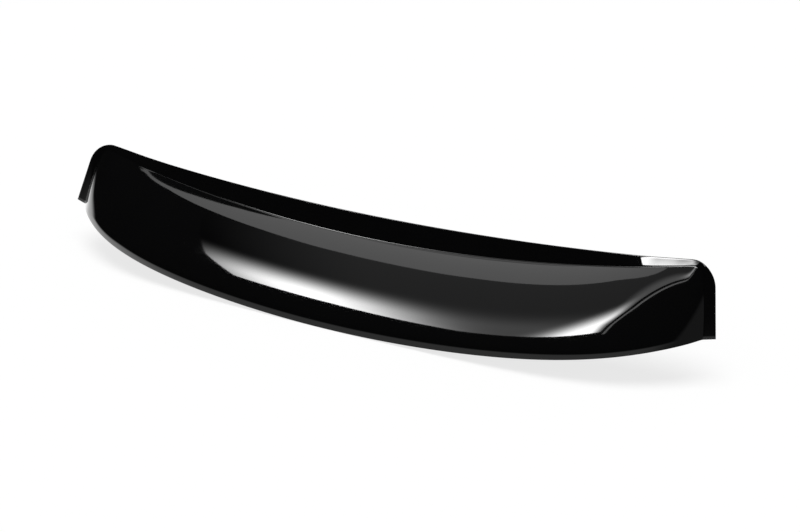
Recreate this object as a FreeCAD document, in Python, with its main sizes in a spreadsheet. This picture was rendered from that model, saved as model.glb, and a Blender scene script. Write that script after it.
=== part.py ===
import FreeCAD, Part
import math
import os
import Sketcher
from FreeCAD import Vector

# Tailgate spoiler: one gloss sheet, formed over a mould and trimmed to an outline.
# X runs across the car, +Y towards the tailgate, -Y rearwards, +Z up.
# The sheet is formed with its lower end corners at Z = 0 on a flat, leaning flange plane.
# It is then set down with the origin on the flange's back face, where it seats on the tailgate.

SIZES = [
    # name, value (millimetres, degrees or plain numbers), meaning
    ("half_width", 600, "half width at the lower end corners"),
    ("end_taper", 22, "how much further in the end edges meet the top edge"),
    ("corner_height", 104, "height of the top corners above the lower end corners"),
    ("corner_radius", 40, "rounding of the two top corners"),
    ("top_sag", 31, "how far the top edge dips in the middle"),
    ("lip_sag", 72, "how far the lower edge drops in the middle"),
    ("flange_lean", 20, "lean of the flange plane from upright, in degrees"),
    ("flange_drop", 36, "height of the top flange in the middle"),
    ("flange_drop_corner", 16, "height of the top flange at the corners"),
    ("end_flange", 18, "width of the end flanges at the lower corners"),
    ("fold_turn", 37, "width over which the fold turns down at each end"),
    ("fold_turn_power", 2.5, "fullness of that turn"),
    ("fold_low", 8, "how far below the end corners the end folds run out"),
    ("fold_radius", 8, "outside radius of the fold"),
    ("bulge_depth", 87, "reach of the lower edge behind the flange plane"),
    ("bulge_power", 6, "squareness of the bulge seen from above"),
    ("slope_before", 32, "slope of the panel at the fold, less than its chord, in degrees"),
    ("slope_change", 8, "slope where the panel turns into the lip, more than its chord"),
    ("slope_after", 55, "slope at the lower edge, more than its chord"),
    ("wall", 3, "sheet thickness"),
    ("seat_facing", 0.2, "stock faced off the flange's back so that it seats flat"),
    ("trim_spare", 14, "sheet formed past the outline and trimmed off"),
]

# Places of the forming sections, as shares of the panel, of the fold's turn and of the end flange.
PANEL_STATIONS = (0.0, 0.4, 0.68, 0.86)
TURN_STATIONS = (0.0, 0.45, 0.75, 0.92)
FLANGE_STATIONS = (0.15, 1.3)
LEAST_CURL = 0.05

# Place of the seam lines across the sheet, as a share of the panel.
SEAM_STATION = 0.92


def make_sheet(doc):
    sheet = doc.addObject("Spreadsheet::Sheet", "Sizes")
    for row, (name, value, meaning) in enumerate(SIZES, start=1):
        sheet.set("A%d" % row, meaning)
        sheet.set("B%d" % row, str(value))
        sheet.setAlias("B%d" % row, name)
    doc.recompute()
    return sheet


def origin_plane(body, role):
    for feature in body.Origin.OriginFeatures:
        if feature.Role == role:
            return feature


def top_half_width(sheet):
    return sheet.half_width - sheet.end_taper


def bulge_half_width(sheet):
    return sheet.half_width - sheet.end_flange


def fold_half_width(sheet):
    """Half width where the fold starts to turn down the end."""
    return bulge_half_width(sheet) - sheet.fold_turn


def sagged_radius(half, sag):
    return (half * half + sag * sag) / (2 * sag)


def sagged_height(x, half, sag):
    """Height of a sagging circular edge above its lowest point, at x."""
    radius = sagged_radius(half, sag)
    return radius - math.sqrt(radius * radius - x * x)


def make_trim_block(doc, sheet):
    """The outline that the formed sheet is trimmed to, as a block along Y."""
    body = doc.addObject("PartDesign::Body", "TrimBlock")
    sketch = body.newObject("Sketcher::SketchObject", "Outline")
    sketch.AttachmentSupport = [(origin_plane(body, "XZ_Plane"), "")]
    sketch.MapMode = "FlatFace"

    low_right = Vector(sheet.half_width, 0, 0)
    low_left = Vector(-sheet.half_width, 0, 0)
    top_right = Vector(top_half_width(sheet), sheet.corner_height, 0)
    top_left = Vector(-top_half_width(sheet), sheet.corner_height, 0)
    low_middle = Vector(0, -sheet.lip_sag, 0)
    top_middle = Vector(0, sheet.corner_height - sheet.top_sag, 0)

    lower = sketch.addGeometry(Part.Arc(low_left, low_middle, low_right))
    right = sketch.addGeometry(Part.LineSegment(low_right, top_right))
    upper = sketch.addGeometry(Part.Arc(top_left, top_middle, top_right))
    left = sketch.addGeometry(Part.LineSegment(top_left, low_left))

    # Both arcs run from their left end (1) to their right end (2).
    sketch.addConstraint(Sketcher.Constraint("Coincident", lower, 2, right, 1))
    sketch.addConstraint(Sketcher.Constraint("Coincident", right, 2, upper, 2))
    sketch.addConstraint(Sketcher.Constraint("Coincident", upper, 1, left, 1))
    sketch.addConstraint(Sketcher.Constraint("Coincident", left, 2, lower, 1))
    sketch.addConstraint(Sketcher.Constraint("PointOnObject", lower, 2, -1))
    sketch.addConstraint(Sketcher.Constraint("Symmetric", lower, 1, lower, 2, -2))
    sketch.addConstraint(Sketcher.Constraint("Symmetric", upper, 1, upper, 2, -2))
    low_radius = sagged_radius(sheet.half_width, sheet.lip_sag)
    top_radius = sagged_radius(top_half_width(sheet), sheet.top_sag)
    top_half = "(Sizes.half_width - Sizes.end_taper)"
    sizes = [
        ("DistanceX", (-1, 1, lower, 2), low_right.x, "Sizes.half_width"),
        ("DistanceX", (-1, 1, upper, 2), top_right.x, top_half),
        ("DistanceY", (-1, 1, upper, 2), top_right.y, "Sizes.corner_height"),
        ("Radius", (lower,), low_radius, "(Sizes.half_width^2 + Sizes.lip_sag^2) / (2 * Sizes.lip_sag)"),
        ("Radius", (upper,), top_radius, "(%s^2 + Sizes.top_sag^2) / (2 * Sizes.top_sag)" % top_half),
    ]
    for kind, where, value, formula in sizes:
        index = sketch.addConstraint(Sketcher.Constraint(kind, *where, value))
        sketch.setExpression("Constraints[%d]" % index, formula)

    pad = body.newObject("PartDesign::Pad", "Block")
    pad.Profile = sketch
    pad.SideType = "Symmetric"
    pad.setExpression("Length", "4 * (Sizes.bulge_depth + Sizes.corner_height)")
    doc.recompute()

    rounding = body.newObject("PartDesign::Fillet", "TopCorners")
    rounding.Base = (pad, top_corner_edges(pad.Shape, top_right))
    rounding.setExpression("Radius", "Sizes.corner_radius")
    doc.recompute()
    return body


def top_corner_edges(shape, corner):
    """The block's two long edges at the top corners."""
    found = []
    for number, edge in enumerate(shape.Edges, start=1):
        ends = [vertex.Point for vertex in edge.Vertexes]
        if all(abs(abs(p.x) - corner.x) < 0.01 and abs(p.z - corner.y) < 0.01 for p in ends):
            found.append("Edge%d" % number)
    return found


def fold_height_at(sheet, x):
    """Height of the fold: a shallow dip across the middle, turning down at both ends."""
    middle = sheet.corner_height - sheet.top_sag - sheet.flange_drop
    rise = sheet.corner_height - sheet.flange_drop_corner - middle
    height = middle + rise * (x / fold_half_width(sheet)) ** 2
    share = (x - fold_half_width(sheet)) / sheet.fold_turn
    if share > 0:
        height -= (height + sheet.fold_low) * share ** sheet.fold_turn_power
    return height


def slope_vector(slope):
    """Direction down the outside of the sheet, at this slope below level."""
    return Vector(0, -math.cos(slope), -math.sin(slope))


def outward(slope):
    return Vector(0, -math.sin(slope), math.cos(slope))


def arc_on(start, radius, slope_from, slope_to):
    """Middle and end points of a convex arc that leaves start at slope_from."""
    centre = start - outward(slope_from) * radius
    middle = centre + outward((slope_from + slope_to) / 2) * radius
    return middle, centre + outward(slope_to) * radius


def section_wire(sheet, x):
    """Closed section of the formed sheet at x: flange, fold, panel and lip, one wall thick."""
    across = abs(x)
    inside = min(across, bulge_half_width(sheet))
    fullness = 1 - (inside / bulge_half_width(sheet)) ** sheet.bulge_power
    curl = max(LEAST_CURL, math.sqrt(fullness))
    flange_slope = math.pi / 2 - math.radians(sheet.flange_lean)
    lean = math.tan(math.radians(sheet.flange_lean))

    fold_z = fold_height_at(sheet, inside) - (across - inside)
    lower_z = sagged_height(inside, sheet.half_width, sheet.lip_sag) - sheet.lip_sag - sheet.trim_spare
    fold = Vector(x, lean * fold_z, fold_z)
    lowest = Vector(x, lean * lower_z - sheet.bulge_depth * fullness, lower_z - (across - inside))

    # The panel leaves the fold flatter than its chord, and the fold's fillet joins the two slopes.
    chord_slope = math.atan2(fold.z - lowest.z, fold.y - lowest.y)
    panel_slope = chord_slope - math.radians(sheet.slope_before) * curl
    setback = sheet.fold_radius * math.tan((flange_slope - panel_slope) / 2)
    fillet_start = fold - slope_vector(flange_slope) * setback
    fillet_end = fold + slope_vector(panel_slope) * setback

    # Two tangent arcs, panel and lip, reach the lower edge from the fillet's end.
    reach = fillet_end.y - lowest.y
    drop = fillet_end.z - lowest.z
    chord_slope = math.atan2(drop, reach)
    lip_slope = chord_slope + math.radians(sheet.slope_change) * curl
    end_slope = chord_slope + math.radians(sheet.slope_after) * curl
    panel_run = math.sin(lip_slope) - math.sin(panel_slope)
    panel_fall = math.cos(panel_slope) - math.cos(lip_slope)
    lip_run = math.sin(end_slope) - math.sin(lip_slope)
    lip_fall = math.cos(lip_slope) - math.cos(end_slope)
    share = panel_run * lip_fall - lip_run * panel_fall
    panel_radius = (reach * lip_fall - lip_run * drop) / share
    lip_radius = (panel_run * drop - reach * panel_fall) / share

    top_z = sheet.corner_height + sheet.trim_spare
    top = Vector(x, lean * top_z, top_z)

    def chain(depth):
        """Outline of the sheet at this depth below its outer face."""
        first = top - outward(flange_slope) * depth
        bend_from = fillet_start - outward(flange_slope) * depth
        bend_to = fillet_end - outward(panel_slope) * depth
        bend_slope = (flange_slope + panel_slope) / 2
        bend_centre = fillet_start + outward(flange_slope) * sheet.fold_radius
        bend_middle = bend_centre - outward(bend_slope) * (sheet.fold_radius + depth)
        panel_middle, panel_end = arc_on(bend_to, panel_radius - depth, panel_slope, lip_slope)
        lip_middle, lip_end = arc_on(panel_end, lip_radius - depth, lip_slope, end_slope)
        return [
            Part.LineSegment(first, bend_from),
            Part.Arc(bend_from, bend_middle, bend_to),
            Part.Arc(bend_to, panel_middle, panel_end),
            Part.Arc(panel_end, lip_middle, lip_end),
        ]

    outer = chain(0)
    inner = chain(sheet.wall)
    edges = [curve.toShape() for curve in outer]
    edges.append(Part.LineSegment(outer[-1].EndPoint, inner[-1].EndPoint).toShape())
    edges += [curve.toShape() for curve in reversed(inner)]
    edges.append(Part.LineSegment(inner[0].StartPoint, outer[0].StartPoint).toShape())
    return Part.Wire(Part.__sortEdges__(edges))


def station_list(sheet):
    """Section places along X: wide apart on the panel, close together where the ends turn."""
    fold_half = fold_half_width(sheet)
    panel = [share * fold_half for share in PANEL_STATIONS]
    turn = [fold_half + share * sheet.fold_turn for share in TURN_STATIONS]
    flange = [bulge_half_width(sheet) + share * sheet.end_flange for share in FLANGE_STATIONS]
    right = panel + turn + flange
    return [-x for x in reversed(right[1:])] + right


def seamed(sheet, shape):
    """The same solid with a seam line across it at each end, between the long panel and the tight turn."""
    seam = SEAM_STATION * fold_half_width(sheet)
    box = shape.BoundBox
    places = (box.XMin, -seam, seam, box.XMax)
    lengths = []
    for start, end in zip(places, places[1:]):
        slab = Part.makeBox(end - start, box.YLength, box.ZLength, Vector(start, box.YMin, box.ZMin))
        lengths.append(shape.common(slab))
    return lengths[0].fuse(lengths[1:])


def make_formed_sheet(doc, sheet):
    """The sheet as it comes off the mould, with spare stock all round."""
    formed = doc.addObject("Part::Feature", "FormedSheet")
    sections = [section_wire(sheet, x) for x in station_list(sheet)]
    formed.Shape = seamed(sheet, Part.makeLoft(sections, True, False))
    return formed


def seat_point(sheet, height):
    """Point on the flange's back face, in the middle, behind this height on its front."""
    lean = math.radians(sheet.flange_lean)
    on_front = Vector(0, height * math.tan(lean), height)
    return on_front - outward(math.pi / 2 - lean) * (sheet.wall - sheet.seat_facing)


def make_seat_facing(doc, sheet):
    """Block behind the flange plane: what it takes off leaves a flat seat on the flange's back."""
    block = doc.addObject("Part::Box", "SeatFacing")
    block.setExpression("Length", "2 * (Sizes.half_width + Sizes.trim_spare)")
    block.setExpression("Width", "Sizes.bulge_depth")
    block.setExpression("Height", "2 * (Sizes.corner_height + Sizes.lip_sag)")
    doc.recompute()
    tilt = FreeCAD.Rotation(Vector(1, 0, 0), -sheet.flange_lean)
    corner = Vector(-block.Length.Value / 2, 0, -block.Height.Value / 2)
    block.Placement = FreeCAD.Placement(seat_point(sheet, 0) + tilt.multVec(corner), tilt)
    return block


def check(doc):
    for item in doc.Objects:
        if "Invalid" in item.State or "Error" in item.State:
            raise RuntimeError("%s did not compute: %s" % (item.Label, item.State))


def main():
    doc = FreeCAD.newDocument("TailgateSpoiler")
    sheet = make_sheet(doc)
    trim_block = make_trim_block(doc, sheet)
    formed = make_formed_sheet(doc, sheet)

    trimmed = doc.addObject("Part::Common", "TrimmedSheet")
    trimmed.Base = formed
    trimmed.Tool = trim_block
    trimmed.Refine = False

    spoiler = doc.addObject("Part::Cut", "Spoiler")
    spoiler.Base = trimmed
    spoiler.Tool = make_seat_facing(doc, sheet)
    spoiler.Refine = False
    spoiler.Label = "spoiler_shell"
    doc.recompute()

    # The origin is behind the middle of the top flange.
    flange_middle = sheet.corner_height - sheet.top_sag - sheet.flange_drop / 2
    spoiler.Placement = FreeCAD.Placement(-seat_point(sheet, flange_middle), FreeCAD.Rotation())
    doc.recompute()
    check(doc)

    shape = spoiler.Shape
    if shape.isNull() or not shape.isValid() or len(shape.Solids) != 1:
        raise RuntimeError("the spoiler is not one valid solid")
    os.makedirs("parts", exist_ok=True)
    shape.exportStep("parts/%s.step" % spoiler.Label)
    box = shape.BoundBox
    print("volume %.0f mm3, X %.1f, Y %.1f to %.1f, Z %.1f to %.1f" % (
        shape.Volume, box.XLength, box.YMin, box.YMax, box.ZMin, box.ZMax))


main()
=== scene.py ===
import math

import bmesh
import bpy
import numpy as np
from mathutils import Matrix, Vector


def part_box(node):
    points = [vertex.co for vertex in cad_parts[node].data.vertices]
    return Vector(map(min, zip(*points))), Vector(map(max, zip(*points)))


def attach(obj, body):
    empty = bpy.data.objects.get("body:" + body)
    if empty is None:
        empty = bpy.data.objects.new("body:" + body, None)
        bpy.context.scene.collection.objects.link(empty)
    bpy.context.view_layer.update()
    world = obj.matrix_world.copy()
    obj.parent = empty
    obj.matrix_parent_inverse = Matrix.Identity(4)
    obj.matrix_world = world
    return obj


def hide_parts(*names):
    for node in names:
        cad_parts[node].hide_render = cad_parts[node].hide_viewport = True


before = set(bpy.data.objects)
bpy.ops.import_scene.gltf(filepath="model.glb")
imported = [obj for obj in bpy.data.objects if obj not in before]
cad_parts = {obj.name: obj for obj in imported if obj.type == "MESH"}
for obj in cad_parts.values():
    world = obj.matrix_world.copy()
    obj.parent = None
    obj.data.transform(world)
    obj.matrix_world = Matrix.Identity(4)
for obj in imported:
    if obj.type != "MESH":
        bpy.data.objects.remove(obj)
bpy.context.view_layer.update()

# Sizes of the formed sheet, in millimetres and degrees, in the forming frame:
# X across the car, +Y towards the tailgate, +Z up, lower end corners at Z = 0.
HALF_WIDTH = 600
END_TAPER = 22
CORNER_HEIGHT = 104
CORNER_RADIUS = 40
TOP_SAG = 31
LIP_SAG = 72
FLANGE_LEAN = math.radians(20)
FLANGE_DROP = 36
FLANGE_DROP_CORNER = 13
END_FLANGE = 18
FOLD_TURN = 37
FOLD_TURN_POWER = 2.5
FOLD_LOW = 8
FOLD_RADIUS = 4
END_FOLD_RADIUS = 10
END_FOLD_FROM = 530
END_FOLD_TO = 572
BULGE_DEPTH = 87
BULGE_POWER = 6
SLOPE_BEFORE = math.radians(23)
SLOPE_CHANGE = math.radians(8)
SLOPE_AFTER = math.radians(65)
LEAST_CURL = 0.05
WALL = 3
SEAT_FACING = 0.2
TRIM_SPARE = 14

# Rounding of the sheet's cut edge, and how far a corner of the edge may run out.
EDGE_RADIUS = 1.0
EDGE_STEPS = 4
LEAST_MITRE = 0.6

# The top corners sink behind the flange plane and roll back from it.
SINK = 4
SINK_FROM = 455
SINK_FULL = 545
SINK_TO = 578
ROLL_ANGLE = math.radians(15.2)
ROLL_GROWTH = 0.004
ROLL_FROM = 444
ROLL_TO = 562
ROLL_BLEND = 45

# Rows and columns of the skin, samples of its curves, and the steps used to place it, in millimetres.
HALF_COLUMNS = 150
FLANGE_ROWS = 7
FOLD_ROWS = 9
PANEL_ROWS = 92
FILLET_SAMPLES = 40
PROFILE_SAMPLES = 240
OUTLINE_SAMPLES = 400
PLACE_SAMPLES = 1200
PLACE_STEP = 0.02
NORMAL_STEP = 0.2
LEAST_LENGTH = 0.001
FOOT_ROUNDS = 20
MERGE = 0.12

MM = 0.001
FLANGE_SLOPE = math.pi / 2 - FLANGE_LEAN
LEAN = math.tan(FLANGE_LEAN)
BULGE_HALF = HALF_WIDTH - END_FLANGE
FOLD_HALF = BULGE_HALF - FOLD_TURN


def outward(slope):
    """Outward direction (Y, Z) of the sheet at a slope below level."""
    return np.array([-np.sin(slope), np.cos(slope)])


def downward(slope):
    """Direction (Y, Z) down the outside of the sheet."""
    return np.array([-np.cos(slope), -np.sin(slope)])


def length_along(points):
    return np.concatenate([[0.0], np.cumsum(np.hypot(*np.diff(points, axis=0).T))])


def sagged(x, half, sag):
    radius = (half * half + sag * sag) / (2 * sag)
    return radius - np.sqrt(radius * radius - x * x)


def fold_height(x):
    middle = CORNER_HEIGHT - TOP_SAG - FLANGE_DROP
    rise = CORNER_HEIGHT - FLANGE_DROP_CORNER - middle
    height = middle + rise * (x / FOLD_HALF) ** 2
    share = max(0.0, (x - FOLD_HALF) / FOLD_TURN)
    return height - (height + FOLD_LOW) * share ** FOLD_TURN_POWER


def lower_height(x):
    """Height of the lower edge, less the rounding of the cut."""
    return float(sagged(min(x, HALF_WIDTH), HALF_WIDTH, LIP_SAG)) - LIP_SAG + EDGE_RADIUS


def smooth_step(low, high, value):
    share = np.clip((value - low) / (high - low), 0, 1)
    return share * share * (3 - 2 * share)


def corner_sink(x):
    """How far the flange lies behind its plane at this place across the car."""
    return SINK * smooth_step(SINK_FROM, SINK_FULL, x) * (1 - smooth_step(SINK_FULL, SINK_TO, x))


def corner_roll(x, rise):
    """How far a flange point rolls back, at this rise above the fold."""
    start = smooth_step(ROLL_FROM - ROLL_BLEND, ROLL_FROM + ROLL_BLEND, x)
    end = 1 - smooth_step(ROLL_TO - ROLL_BLEND, ROLL_TO + ROLL_BLEND, x)
    return rise * (1 + ROLL_GROWTH * rise) * math.tan(ROLL_ANGLE) * start * end


def fold_radius(x):
    """Outside radius of the fold, larger where it turns down the ends."""
    share = float(smooth_step(END_FOLD_FROM, END_FOLD_TO, x))
    return FOLD_RADIUS + (END_FOLD_RADIUS - FOLD_RADIUS) * share


def arc(start, slope_from, slope_to, radius, count):
    """Points of an arc down the outside, bulging outward where its radius is positive."""
    centre = start - outward(slope_from) * radius
    return centre + outward(np.linspace(slope_from, slope_to, count)).T * radius


def bulge_arcs(top, lowest, panel_slope, curl):
    """The panel's arc and the lip's, smoothly joined, from the fillet's end down to the lowest point."""
    reach, drop = top - lowest
    chord = math.atan2(drop, reach)
    lip_slope = chord + SLOPE_CHANGE * curl
    end_slope = chord + SLOPE_AFTER * curl
    panel_run = math.sin(lip_slope) - math.sin(panel_slope)
    panel_fall = math.cos(panel_slope) - math.cos(lip_slope)
    lip_run = math.sin(end_slope) - math.sin(lip_slope)
    lip_fall = math.cos(lip_slope) - math.cos(end_slope)
    share = panel_run * lip_fall - lip_run * panel_fall
    panel_radius = (reach * lip_fall - lip_run * drop) / share
    lip_radius = (panel_run * drop - reach * panel_fall) / share
    panel = arc(top, panel_slope, lip_slope, panel_radius, PROFILE_SAMPLES)[1:]
    lip = arc(panel[-1], lip_slope, end_slope, lip_radius, PROFILE_SAMPLES)[1:]
    return panel, lip


class Section:
    """The outside of the sheet at one place across the car, from the fold's fillet down past the lip."""

    def __init__(self, x):
        across = abs(x)
        inside = min(across, BULGE_HALF)
        fullness = 1 - (inside / BULGE_HALF) ** BULGE_POWER
        curl = max(LEAST_CURL, math.sqrt(fullness))
        fold_z = fold_height(inside) - (across - inside)
        lower_z = float(sagged(inside, HALF_WIDTH, LIP_SAG)) - LIP_SAG - TRIM_SPARE
        self.sink = float(corner_sink(across))
        fold = np.array([LEAN * fold_z + self.sink, fold_z])
        lowest = np.array([LEAN * lower_z - BULGE_DEPTH * fullness, lower_z - (across - inside)])

        chord = math.atan2(fold[1] - lowest[1], fold[0] - lowest[0])
        panel_slope = chord - SLOPE_BEFORE * curl
        radius = fold_radius(across)
        setback = radius * math.tan((FLANGE_SLOPE - panel_slope) / 2)
        self.start = fold - downward(FLANGE_SLOPE) * setback
        self.fillet_length = radius * (FLANGE_SLOPE - panel_slope)
        fillet = arc(self.start, FLANGE_SLOPE, panel_slope, -radius, FILLET_SAMPLES)
        panel, lip = bulge_arcs(fold + downward(panel_slope) * setback, lowest, panel_slope, curl)
        self.points = np.concatenate([fillet, panel, lip])
        self.along = length_along(self.points)

    def depth_at(self, z):
        """Y of the outside at height z."""
        on_bulge = np.interp(-z, -self.points[:, 1], self.points[:, 0])
        return np.where(z > self.start[1], LEAN * z + self.sink, on_bulge)

    def length_to(self, z):
        """Length down the outside from the fillet's start to height z."""
        return float(np.interp(-z, -self.points[:, 1], self.along))

    def heights(self, lengths):
        return np.interp(lengths, self.along, self.points[:, 1])


def outline_half():
    """Top edge, rounded corner and end edge of the right half, as X, Z points, less the cut's rounding."""
    top_half = HALF_WIDTH - END_TAPER
    radius = CORNER_RADIUS - EDGE_RADIUS
    top_radius = (top_half ** 2 + TOP_SAG ** 2) / (2 * TOP_SAG) + EDGE_RADIUS
    top_centre = CORNER_HEIGHT - TOP_SAG - EDGE_RADIUS + top_radius
    normal = np.array([CORNER_HEIGHT, END_TAPER]) / math.hypot(CORNER_HEIGHT, END_TAPER)
    end_offset = normal[0] * HALF_WIDTH - EDGE_RADIUS

    # The corner's centre is one radius below the top arc and one radius inside the end edge.
    inset = end_offset - radius
    drop = math.sqrt((top_radius + radius) ** 2 - (inset - normal[1] * top_centre) ** 2)
    centre = inset * normal + (normal[0] * top_centre - drop) * np.array([-normal[1], normal[0]])
    top_turn = math.atan2(centre[0], top_centre - centre[1])
    end_turn = math.atan2(normal[1], normal[0])

    turns = np.linspace(0, top_turn, OUTLINE_SAMPLES)
    top = np.stack([top_radius * np.sin(turns), top_centre - top_radius * np.cos(turns)], 1)
    turns = np.linspace(math.pi / 2 + top_turn, end_turn, OUTLINE_SAMPLES)[1:]
    corner = centre + radius * np.stack([np.cos(turns), np.sin(turns)], 1)

    # The end edge runs down to the lower edge.
    def end_x(z):
        return (end_offset - normal[1] * z) / normal[0]

    foot = 0.0
    for _ in range(FOOT_ROUNDS):
        foot = lower_height(end_x(foot))
    heights = np.linspace(corner[-1][1], foot, OUTLINE_SAMPLES)[1:]
    end = np.stack([end_x(heights), heights], 1)
    return np.concatenate([top, corner, end])


def column_places():
    """Places of the right half's columns, evenly spaced along the fold, and their share of its length."""
    last = BULGE_HALF
    while Section(last).start[1] < lower_height(last):
        last -= PLACE_STEP
    fine = np.linspace(0, last, PLACE_SAMPLES)
    fold = np.stack([fine, [Section(x).start[1] for x in fine]], 1)
    along = length_along(fold)
    shares = np.linspace(0, 1, HALF_COLUMNS + 1)
    return np.interp(shares * along[-1], along, fine), shares


def flange_column(x, fold_z, top_x, top_z):
    """Points and normals of one column of the flange, from its edge to the fold."""
    shares = np.linspace(0, 1, FLANGE_ROWS + 1)
    row_x = top_x + (x - top_x) * shares
    row_z = top_z + (fold_z - top_z) * shares
    rise = (row_z - fold_z) / math.cos(FLANGE_LEAN)
    normal = np.array([0, *outward(FLANGE_SLOPE)])
    plane = np.stack([row_x, LEAN * row_z + corner_sink(row_x), row_z], 1)
    return plane - normal * corner_roll(row_x, rise)[:, None], np.tile(normal, (len(plane), 1))


def panel_column(x, section):
    """Points and normals of one column of the fold and the panel, down to the lower edge."""
    whole = max(section.length_to(lower_height(x)), LEAST_LENGTH)
    fillet = min(section.fillet_length, whole / 2)
    lengths = np.concatenate([
        np.linspace(0, fillet, FOLD_ROWS + 1)[1:],
        np.linspace(fillet, whole, PANEL_ROWS + 1)[1:],
    ])
    z = section.heights(lengths)
    before = Section(x - NORMAL_STEP).depth_at(z)
    after = Section(x + NORMAL_STEP).depth_at(z)
    slope_x = (after - before) / (2 * NORMAL_STEP)
    slope_z = (section.depth_at(z + NORMAL_STEP) - section.depth_at(z - NORMAL_STEP)) / (2 * NORMAL_STEP)
    normal = np.stack([slope_x, -np.ones_like(z), slope_z], 1)
    normal /= np.linalg.norm(normal, axis=1, keepdims=True)
    return np.stack([np.full_like(z, x), section.depth_at(z), z], 1), normal


def half_skin():
    """Points of the outside and their outward normals, right half: columns by rows."""
    places, shares = column_places()
    outline = outline_half()
    along = length_along(outline)
    edge_x = np.interp(shares * along[-1], along, outline[:, 0])
    edge_z = np.interp(shares * along[-1], along, outline[:, 1])
    points, normals = [], []
    for x, top_x, top_z in zip(places, edge_x, edge_z):
        section = Section(x)
        flange, flange_normals = flange_column(x, section.start[1], top_x, top_z)
        panel, panel_normals = panel_column(x, section)
        points.append(np.concatenate([flange, panel]))
        normals.append(np.concatenate([flange_normals, panel_normals]))
    return np.array(points), np.array(normals)


def whole_skin():
    """Both halves, left to right."""
    points, normals = half_skin()
    mirror = np.array([-1.0, 1.0, 1.0])
    left = slice(None, 0, -1)
    return (np.concatenate([points[left] * mirror, points]),
            np.concatenate([normals[left] * mirror, normals]))


def rim_loop(columns, rows):
    """Column and row numbers round the skin's edge."""
    loop = [(column, 0) for column in range(columns)]
    loop += [(columns - 1, row) for row in range(1, rows)]
    loop += [(column, rows - 1) for column in range(columns - 2, -1, -1)]
    loop += [(0, row) for row in range(rows - 2, 0, -1)]
    return loop


def rim_directions(points, normals):
    """Direction off the sheet's edge at each rim point, longer at a corner."""
    count = len(points)
    edges = []
    for i in range(count):
        run = points[(i + 1) % count] - points[i]
        length = np.linalg.norm(run)
        edges.append(np.cross(normals[i], run / length) if length > MERGE else None)
    found = []
    for i in range(count):
        after = next(edges[(i + k) % count] for k in range(count) if edges[(i + k) % count] is not None)
        before = next(edges[i - k] for k in range(1, count) if edges[i - k] is not None)
        middle = before + after
        middle /= np.linalg.norm(middle)
        found.append(middle / max(LEAST_MITRE, float(middle @ after)))
    return np.array(found)


def rim_rings(outside, back, normals):
    """Rings of points round the cut edge, from just off the outside's edge to just off the back's."""
    off = rim_directions(outside, normals)
    turns = np.linspace(0, math.pi / 2, EDGE_STEPS + 1)[1:]
    rings = []
    for turn in turns:
        rings.append(outside + EDGE_RADIUS * (off * math.sin(turn) - normals * (1 - math.cos(turn))))
    for turn in reversed(turns):
        rings.append(back + EDGE_RADIUS * (off * math.sin(turn) + normals * (1 - math.cos(turn))))
    return rings


def shell_faces(columns, rows, ring_count):
    """Faces of the outside, the back and the cut edge between them, and each face's material slot."""
    back_start = columns * rows
    faces, slots = [], []
    for c in range(columns - 1):
        for r in range(rows - 1):
            near, far = c * rows + r, (c + 1) * rows + r
            quad = (near, near + 1, far + 1, far)
            faces.append(quad)
            faces.append(tuple(back_start + v for v in reversed(quad)))
            slots += [0, 1]

    loop = [c * rows + r for c, r in rim_loop(columns, rows)]
    count = len(loop)
    rings = [loop]
    for k in range(ring_count):
        first = 2 * back_start + k * count
        rings.append(range(first, first + count))
    rings.append([back_start + v for v in loop])
    for near, far in zip(rings, rings[1:]):
        for i in range(count):
            k = (i + 1) % count
            faces.append((near[i], near[k], far[k], far[i]))
            slots.append(0)
    return faces, slots


def build_shell():
    """The sheet as one closed mesh: outside, rounded cut edge and back."""
    outside, normals = whole_skin()
    columns, rows = outside.shape[:2]
    thickness = np.full(rows, float(WALL))
    thickness[: FLANGE_ROWS + 1] = WALL - SEAT_FACING
    back = outside - normals * thickness[None, :, None]

    edge = tuple(np.array(rim_loop(columns, rows)).T)
    rings = rim_rings(outside[edge], back[edge], normals[edge])
    vertices = np.concatenate([outside.reshape(-1, 3), back.reshape(-1, 3), *rings])
    faces, slots = shell_faces(columns, rows, len(rings))

    seat = np.array([0.0, *seat_point()])
    mesh = bpy.data.meshes.new("gloss_shell")
    mesh.from_pydata(((vertices - seat) * MM).tolist(), [], faces)
    mesh.polygons.foreach_set("material_index", slots)
    tidy_mesh(mesh)
    shell = bpy.data.objects.new("gloss_shell", mesh)
    bpy.context.scene.collection.objects.link(shell)
    return shell


def seat_point():
    """The part's origin (Y, Z): on the flange's back, behind the middle of the top flange."""
    height = CORNER_HEIGHT - TOP_SAG - FLANGE_DROP / 2
    return np.array([LEAN * height, height]) - outward(FLANGE_SLOPE) * (WALL - SEAT_FACING)


def tidy_mesh(mesh):
    work = bmesh.new()
    work.from_mesh(mesh)
    bmesh.ops.remove_doubles(work, verts=work.verts, dist=MERGE * MM)
    bmesh.ops.dissolve_degenerate(work, edges=work.edges, dist=MERGE * MM / 2)
    bmesh.ops.recalc_face_normals(work, faces=work.faces)
    for face in work.faces:
        face.smooth = True
    work.to_mesh(mesh)
    work.free()


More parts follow.
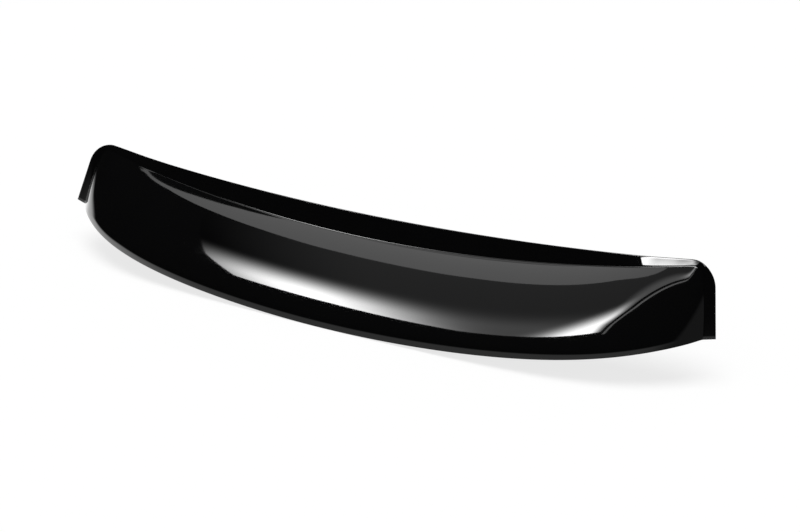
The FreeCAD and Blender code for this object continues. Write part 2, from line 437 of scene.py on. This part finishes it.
class Nodes:
    """A material's or world's node tree, cleared, with short ways to add and join nodes."""

    def __init__(self, owner):
        owner.use_nodes = True
        self.tree = owner.node_tree
        self.tree.nodes.clear()

    def add(self, kind, **values):
        node = self.tree.nodes.new(kind)
        for name, value in values.items():
            setattr(node, name, value)
        return node

    def join(self, source, target):
        self.tree.links.new(source, target)

    def output(self, kind, shader):
        """Joins a shader to a new output node of this kind."""
        self.join(shader.outputs[0], self.add(kind).inputs["Surface"])

    def math(self, operation, *inputs):
        node = self.add("ShaderNodeMath", operation=operation)
        for socket, value in zip(node.inputs, inputs):
            if isinstance(value, (int, float)):
                socket.default_value = value
            else:
                self.join(value, socket)
        return node.outputs[0]

    def square(self, value):
        return self.math("MULTIPLY", value, value)

    def bell(self, value, centre, spread):
        """A bell curve, 1 at its centre."""
        off = self.math("DIVIDE", self.math("SUBTRACT", value, centre), spread)
        return self.math("EXPONENT", self.math("MULTIPLY", self.square(off), -0.5))

    def place(self):
        """Where on the object the surface is shaded."""
        return self.add("ShaderNodeTexCoord").outputs["Object"]

    def parts(self, vector):
        """The X, Y and Z of a vector."""
        split = self.add("ShaderNodeSeparateXYZ")
        self.join(vector, split.inputs[0])
        return split.outputs

    def noise(self, scale, detail):
        noise = self.add("ShaderNodeTexNoise")
        noise.inputs["Scale"].default_value = scale
        noise.inputs["Detail"].default_value = detail
        self.join(self.place(), noise.inputs["Vector"])
        return noise.outputs["Fac"]

    def spread(self, value, low, high):
        """A 0 to 1 value, spread from low to high."""
        node = self.add("ShaderNodeMapRange")
        node.inputs["To Min"].default_value = low
        node.inputs["To Max"].default_value = high
        self.join(value, node.inputs["Value"])
        return node.outputs["Result"]

    def step(self, value, low, high):
        """A smooth step from 0 at low to 1 at high."""
        node = self.add("ShaderNodeMapRange", interpolation_type="SMOOTHSTEP")
        node.inputs["From Min"].default_value = low
        node.inputs["From Max"].default_value = high
        self.join(value, node.inputs["Value"])
        return node.outputs["Result"]

    def bump(self, height, distance, strength, under=None):
        node = self.add("ShaderNodeBump")
        node.inputs["Distance"].default_value = distance
        node.inputs["Strength"].default_value = strength
        self.join(height, node.inputs["Height"])
        if under is not None:
            self.join(under, node.inputs["Normal"])
        return node.outputs["Normal"]

    def ramp(self, value, colours):
        node = self.add("ShaderNodeValToRGB")
        for element, colour in zip(node.color_ramp.elements, colours):
            element.color = (*colour, 1)
        self.join(value, node.inputs["Fac"])
        return node.outputs["Color"]

    def shown(self):
        """1 for rays that show a surface: straight from the camera, mirrored or through glass."""
        path = self.add("ShaderNodeLightPath")
        either = self.math("MAXIMUM", path.outputs["Is Camera Ray"], path.outputs["Is Glossy Ray"])
        return self.math("MAXIMUM", either, path.outputs["Is Transmission Ray"])


# The sheet's plastic. Each noise is its scale and detail; each bump is its noise, its height in metres and
# its strength. The outside is a mirror gloss with the faint waves and grain of a formed sheet; the back is
# the same black, dull from the mould.
PLASTIC_IOR = 1.54
GLOSS_TONES = [(0.0022, 0.0022, 0.0024), (0.0032, 0.0032, 0.0034)]
GLOSS_TONE_NOISE = (9, 2)
GLOSS_ROUGHNESS = (0.02, 0.05)
GLOSS_ROUGHNESS_NOISE = (38, 3)
GLOSS_BUMPS = [((7, 1), 0.0008, 0.25), ((260, 1), 0.00002, 0.12)]
BACK_TONES = [(0.010, 0.010, 0.011), (0.016, 0.016, 0.017)]
BACK_TONE_NOISE = (14, 4)
BACK_ROUGHNESS = (0.34, 0.5)
BACK_ROUGHNESS_NOISE = (60, 4)
BACK_BUMPS = [((900, 3), 0.0002, 0.25)]


def plastic(name, tones, tone_noise, roughness, roughness_noise, bumps):
    """Plastic whose tone and roughness wander over it, with each bump laid over the one before."""
    material = bpy.data.materials.new(name)
    nodes = Nodes(material)
    shader = nodes.add("ShaderNodeBsdfPrincipled")
    shader.inputs["IOR"].default_value = PLASTIC_IOR
    nodes.join(nodes.ramp(nodes.noise(*tone_noise), tones), shader.inputs["Base Color"])
    nodes.join(nodes.spread(nodes.noise(*roughness_noise), *roughness), shader.inputs["Roughness"])
    normal = None
    for noise, height, strength in bumps:
        normal = nodes.bump(nodes.noise(*noise), height, strength, normal)
    nodes.join(normal, shader.inputs["Normal"])
    nodes.output("ShaderNodeOutputMaterial", shader)
    return material


def gloss_black():
    return plastic("gloss_sheet", GLOSS_TONES, GLOSS_TONE_NOISE,
                   GLOSS_ROUGHNESS, GLOSS_ROUGHNESS_NOISE, GLOSS_BUMPS)


def satin_black():
    return plastic("sheet_back", BACK_TONES, BACK_TONE_NOISE,
                   BACK_ROUGHNESS, BACK_ROUGHNESS_NOISE, BACK_BUMPS)


# White floor: its half width in metres, its own glow, and the paint that takes light and shadow.
FLOOR_HALF = 9.0
FLOOR_GLOW = 0.76
FLOOR_COLOUR = (0.3, 0.3, 0.3, 1)


def level_sheet(name, corners, height):
    mesh = bpy.data.meshes.new(name)
    mesh.from_pydata([(x, y, height) for x, y in corners], [], [tuple(range(len(corners)))])
    sheet = bpy.data.objects.new(name, mesh)
    bpy.context.scene.collection.objects.link(sheet)
    return sheet


def add_floor(height):
    """A white floor: most of its white is its own for rays that show it, and the rest takes the shadow."""
    reach = FLOOR_HALF
    floor = level_sheet("floor", [(-reach, -reach), (reach, -reach), (reach, reach), (-reach, reach)], height)
    # The gloss mirrors the tent's ground in its place.
    floor.visible_glossy = False
    material = bpy.data.materials.new("floor_white")
    nodes = Nodes(material)
    glow = nodes.add("ShaderNodeEmission")
    nodes.join(nodes.math("MULTIPLY", nodes.shown(), FLOOR_GLOW), glow.inputs["Strength"])
    paint = nodes.add("ShaderNodeBsdfDiffuse")
    paint.inputs["Color"].default_value = FLOOR_COLOUR
    both = nodes.add("ShaderNodeAddShader")
    nodes.join(glow.outputs[0], both.inputs[0])
    nodes.join(paint.outputs[0], both.inputs[1])
    nodes.output("ShaderNodeOutputMaterial", both)
    floor.data.materials.append(material)


# Overhead scrim, in metres: its corners from the back left round to the back right, its even glow, which
# fades to the left, and the fill and rise of its left half's light towards the front.
SCRIM_HEIGHT = 0.75
SCRIM_CORNERS = [(-0.70, 0.06), (-0.77, -0.45), (-0.75, -0.62), (-0.55, -0.63), (-0.30, -0.68),
                 (-0.05, -0.67), (0.318, -0.655), (0.318, -0.57), (0.358, -0.40), (0.358, -0.12),
                 (0.08, 0.06)]
SCRIM_GLOW = 0.28
SCRIM_FADE = (-0.74, -0.38)
SCRIM_FILL = 0.8
SCRIM_RISE = (-0.24, -0.56)

# Lamps behind the scrim: one on the left, and a long one that lies across the right front corner.
LEFT_LAMP_X = -0.58
LEFT_LAMP_SPREAD = 0.116
LAMP_STRENGTH = 23
RIGHT_LAMP = (0.20, -0.56)
RIGHT_LAMP_TURN = math.radians(42)
RIGHT_LAMP_RISE = (0.195, -0.03)
RIGHT_LAMP_FADE = (-0.25, 0.15)

# The scrim's right edge steps out towards the back. The right lamp ends short of it, and a faint streak runs
# along it.
EDGE_BEND = (-0.57, -0.40)
EDGE_SHIFT = 0.04
RIGHT_LAMP_EDGE = (0.318, 0.245)
STREAK_RISE = (0.21, 0.29)
STREAK_GLOW = 1.0

# A thin strip light beside the scrim, and a white card above the scrim, cut off aslant behind on the left.
STRIP_CORNERS = [(0.345, -0.70), (0.365, -0.70), (0.365, -0.57), (0.405, -0.40), (0.405, -0.20),
                 (0.385, -0.20), (0.385, -0.40), (0.345, -0.57)]
STRIP_GLOW = 1.7
CARD_RISE = 0.01
CARD_CORNERS = [(-0.88, 0.04), (-0.80, 0.085), (-0.62, 0.07), (-0.45, 0.055), (0.05, 0.055),
                (0.36, -0.15), (0.36, 0.055), (0.75, 0.055), (0.75, 1.40), (0.55, 1.40)]
CARD_GLOW = 1.38


def mirrored_light(stand):
    """Makes a staged object a light that shows in reflections only: its nodes and its strength."""
    stand.visible_camera = False
    stand.visible_diffuse = False
    stand.visible_transmission = False
    stand.visible_shadow = False
    material = bpy.data.materials.new(stand.name + "_glow")
    stand.data.materials.append(material)
    nodes = Nodes(material)
    glow = nodes.add("ShaderNodeEmission")
    nodes.output("ShaderNodeOutputMaterial", glow)
    return nodes, glow.inputs["Strength"]


def left_light(nodes, x, y):
    """The scrim's light from its left lamp and its fill, rising towards the front."""
    lamp = nodes.math("MULTIPLY_ADD", nodes.bell(x, LEFT_LAMP_X, LEFT_LAMP_SPREAD), LAMP_STRENGTH, SCRIM_FILL)
    return nodes.math("MULTIPLY", lamp, nodes.square(nodes.step(y, *SCRIM_RISE)))


def right_light(nodes, x, y):
    """The scrim's light from its long right lamp, and the streak along its right edge."""
    behind = nodes.math("MULTIPLY", nodes.math("SUBTRACT", y, RIGHT_LAMP[1]), math.cos(RIGHT_LAMP_TURN))
    beside = nodes.math("MULTIPLY", nodes.math("SUBTRACT", x, RIGHT_LAMP[0]), math.sin(RIGHT_LAMP_TURN))
    rise = nodes.step(nodes.math("SUBTRACT", behind, beside), *RIGHT_LAMP_RISE)
    lamp = nodes.math("MULTIPLY", nodes.square(rise), nodes.step(x, *RIGHT_LAMP_FADE))
    bend = nodes.math("MULTIPLY", nodes.step(y, *EDGE_BEND), EDGE_SHIFT)
    across = nodes.math("SUBTRACT", x, bend)
    lamp = nodes.math("MULTIPLY", lamp, nodes.step(across, *RIGHT_LAMP_EDGE))
    streak = nodes.math("MULTIPLY", nodes.step(across, *STREAK_RISE), STREAK_GLOW)
    return nodes.math("MULTIPLY_ADD", lamp, LAMP_STRENGTH, streak)


def add_scrim():
    """The soft overhead light that the gloss mirrors."""
    nodes, strength = mirrored_light(level_sheet("scrim", SCRIM_CORNERS, SCRIM_HEIGHT))
    x, y, _ = nodes.parts(nodes.place())
    lamps = nodes.math("ADD", left_light(nodes, x, y), right_light(nodes, x, y))
    even = nodes.math("MULTIPLY", nodes.step(x, *SCRIM_FADE), SCRIM_GLOW)
    nodes.join(nodes.math("ADD", lamps, even), strength)


def add_strip_and_card():
    _, strength = mirrored_light(level_sheet("strip", STRIP_CORNERS, SCRIM_HEIGHT))
    strength.default_value = STRIP_GLOW
    _, strength = mirrored_light(level_sheet("card", CARD_CORNERS, SCRIM_HEIGHT + CARD_RISE))
    strength.default_value = CARD_GLOW


# Dark tent round the set, far off, over a pale ground that is brighter to the left and dimmer to the right.
# Directions are unit vectors from the part; the ground reaches up to a horizon that tilts and lifts.
TENT_RADIUS = 50.0
TENT_SEGMENTS = 48
TENT_RINGS = 24
TENT_DARK = 0.012
GROUND_GLOW = 0.52
GROUND_LEFT = 2.4
GROUND_LEFT_TURN = (-0.5, -0.97)
GROUND_RIGHT = 0.25
GROUND_RIGHT_TURN = (0.5, 0.8)
HORIZON = (0.0, -0.12)
HORIZON_TILT = 0.12
HORIZON_TILT_FROM = -0.5
HORIZON_LIFT = 0.23
HORIZON_LEFT_LIFT = 0.14
HORIZON_LEFT_TURN = (-0.82, -1.0)
HORIZON_TURN = (0.3, 0.0)


def far_sphere():
    mesh = bpy.data.meshes.new("tent")
    work = bmesh.new()
    bmesh.ops.create_uvsphere(work, u_segments=TENT_SEGMENTS, v_segments=TENT_RINGS, radius=TENT_RADIUS)
    work.to_mesh(mesh)
    work.free()
    tent = bpy.data.objects.new("tent", mesh)
    bpy.context.scene.collection.objects.link(tent)
    return tent


def add_tent():
    """A dark tent over a pale ground, which only the gloss mirrors."""
    nodes, strength = mirrored_light(far_sphere())
    direction = nodes.add("ShaderNodeVectorMath", operation="NORMALIZE")
    nodes.join(nodes.place(), direction.inputs[0])
    x, y, z = nodes.parts(direction.outputs["Vector"])

    ground = nodes.spread(nodes.step(x, *GROUND_LEFT_TURN), GROUND_GLOW, GROUND_LEFT)
    dimmed = nodes.spread(nodes.step(x, *GROUND_RIGHT_TURN), 1.0, GROUND_RIGHT)
    ground = nodes.math("MULTIPLY", ground, dimmed)
    right = nodes.math("MAXIMUM", nodes.math("SUBTRACT", x, HORIZON_TILT_FROM), 0.0)
    lift = nodes.spread(nodes.step(x, *HORIZON_LEFT_TURN), HORIZON_LIFT, HORIZON_LEFT_LIFT)
    lift = nodes.math("MULTIPLY", nodes.step(y, *HORIZON_TURN), lift)
    horizon = nodes.math("MULTIPLY_ADD", right, HORIZON_TILT, lift)
    ground = nodes.math("MULTIPLY", ground, nodes.step(nodes.math("SUBTRACT", z, horizon), *HORIZON))
    nodes.join(nodes.math("ADD", ground, TENT_DARK), strength)


ROOM_FILL = 0.3


def add_room():
    """White to every ray that shows the background, with a soft fill light for the rest."""
    world = bpy.data.worlds.new("room")
    bpy.context.scene.world = world
    nodes = Nodes(world)
    background = nodes.add("ShaderNodeBackground")
    nodes.join(nodes.math("MAXIMUM", nodes.shown(), ROOM_FILL), background.inputs["Strength"])
    nodes.output("ShaderNodeOutputWorld", background)


KEY_WIDTH = math.radians(42)
KEY_STRENGTH = 1.8


def add_key():
    """A wide soft lamp far overhead, for the floor, the shadow and the dull back."""
    lamp = bpy.data.lights.new("key", "SUN")
    lamp.angle = KEY_WIDTH
    lamp.energy = KEY_STRENGTH
    key = bpy.data.objects.new("key", lamp)
    key.visible_glossy = False
    bpy.context.scene.collection.objects.link(key)


# Camera, in metres and degrees: turned round the part from straight behind the car, looking down. The lens
# and the sensor are in millimetres.
CAMERA_AIM = Vector((0.0534, 0.0060, -0.0605))
CAMERA_TURN = math.radians(29.67)
CAMERA_RISE = math.radians(22.51)
CAMERA_DISTANCE = 2.612
CAMERA_LENS = 72
SENSOR_WIDTH = 36


def add_camera():
    data = bpy.data.cameras.new("camera")
    data.lens = CAMERA_LENS
    data.sensor_width = SENSOR_WIDTH
    camera = bpy.data.objects.new("camera", data)
    right = Vector((math.cos(CAMERA_TURN), math.sin(CAMERA_TURN), 0))
    back = Vector((math.sin(CAMERA_TURN) * math.cos(CAMERA_RISE),
                   -math.cos(CAMERA_TURN) * math.cos(CAMERA_RISE),
                   math.sin(CAMERA_RISE)))
    up = back.cross(right)
    turn = Matrix((right, up, back)).transposed().to_4x4()
    camera.matrix_world = Matrix.Translation(CAMERA_AIM + back * CAMERA_DISTANCE) @ turn
    bpy.context.scene.collection.objects.link(camera)
    bpy.context.scene.camera = camera


shell = build_shell()
shell.data.materials.append(gloss_black())
shell.data.materials.append(satin_black())
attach(shell, "root")
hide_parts("spoiler_shell")

add_floor(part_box("spoiler_shell")[0].z)
add_scrim()
add_strip_and_card()
add_tent()
add_room()
add_key()
add_camera()
bpy.context.scene.view_settings.view_transform = "Standard"
